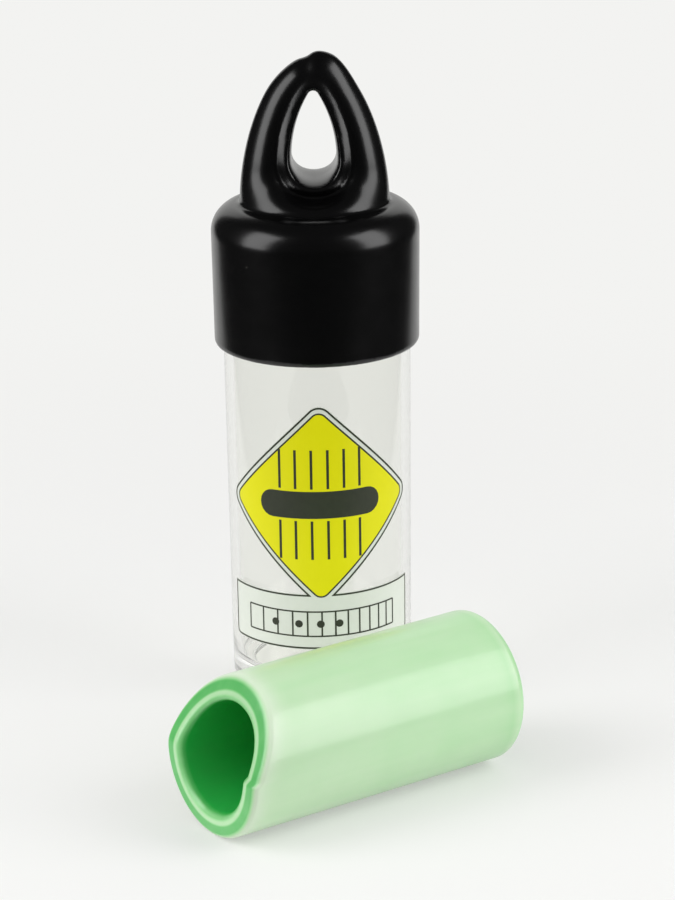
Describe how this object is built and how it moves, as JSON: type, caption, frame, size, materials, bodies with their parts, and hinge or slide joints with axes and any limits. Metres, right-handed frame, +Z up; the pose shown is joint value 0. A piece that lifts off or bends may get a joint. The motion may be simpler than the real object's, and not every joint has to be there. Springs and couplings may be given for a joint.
{
  "type": "guitar slide",
  "caption": "Glazed porcelain finger slide with a knuckle cut at one end, and its clear storage vial with a wrapped label and a soft pull-off cap with a hanging loop.",
  "frame": {"origin": "centre of the case's underside, on the surface that the set stands on", "axes": "+Z up along the case's axis, which is also the way the cap pulls off; -Y is the labelled front, where the slide lies; +X to the right as seen from the front"},
  "size_m": [0.0645, 0.1095, 0.1233],
  "materials": {
    "porcelain_glaze": "glossy pale green glaze, pooled darker on the end faces and in the bore",
    "clear_plastic": "clear moulded styrene, polished",
    "black_soft_vinyl": "satin black soft vinyl, dip moulded",
    "printed_film": "self-adhesive printed film, yellow square on a pale grey ground"
  },
  "bodies": {
    "case": {"case_vial": "clear_plastic", "case_label": "printed_film"},
    "cap": {"case_cap": "black_soft_vinyl"},
    "slide": {"guitar_slide": "porcelain_glaze"}
  },
  "joints": [
    {"name": "cap_pull", "type": "slide", "parent": "case", "child": "cap", "axis": [0, 0, 1], "range_m": [0, 0.04]},
    {"name": "slide_lift", "type": "slide", "parent": "case", "child": "slide", "axis": [0, 0, 1], "range_m": [0, 0.05]}
  ]
}
